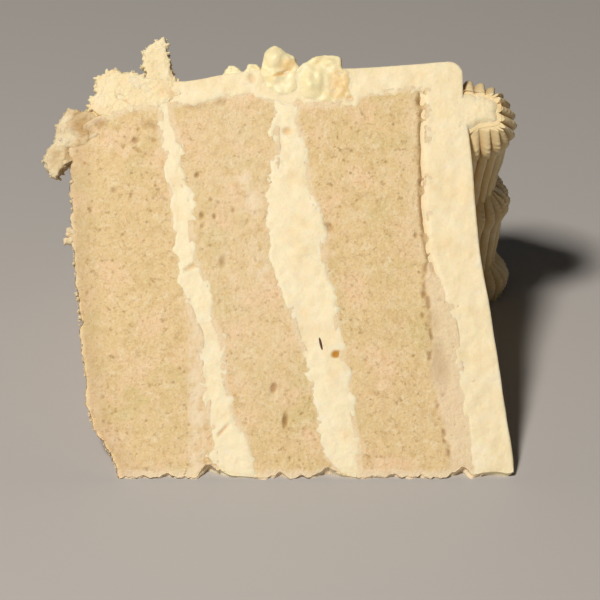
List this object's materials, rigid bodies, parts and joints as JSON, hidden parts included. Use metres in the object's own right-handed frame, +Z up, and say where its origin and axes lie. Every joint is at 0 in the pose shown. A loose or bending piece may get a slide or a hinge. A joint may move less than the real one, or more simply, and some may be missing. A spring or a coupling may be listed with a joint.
{
  "type": "layer cake slice",
  "caption": "Wedge cut from a round three-layer sponge cake with cream fillings, an iced top and side and a piped shell border, lying on one cut face.",
  "frame": {"origin": "middle of the bounding box's base, on the surface that the slice lies on", "axes": "+X along the cake's height, from its underside to its iced top; +Y from the slice's point towards its iced outer side; +Z up, out of the lower cut face"},
  "size_m": [0.0936, 0.0824, 0.0626],
  "materials": {
    "sponge": "pale yellow butter sponge with an open, dry crumb",
    "filling": "soft ivory buttercream, cut with a knife",
    "icing": "soft ivory buttercream, smoothed with a palette knife, satin",
    "piped_icing": "soft ivory buttercream piped through a star tip"
  },
  "bodies": {
    "root": {"sponge_bottom": "sponge", "filling_lower": "filling", "sponge_middle": "sponge", "filling_upper": "filling", "sponge_top": "sponge", "icing": "icing", "shell_1": "piped_icing", "shell_2": "piped_icing", "shell_3": "piped_icing"}
  },
  "joints": []
}
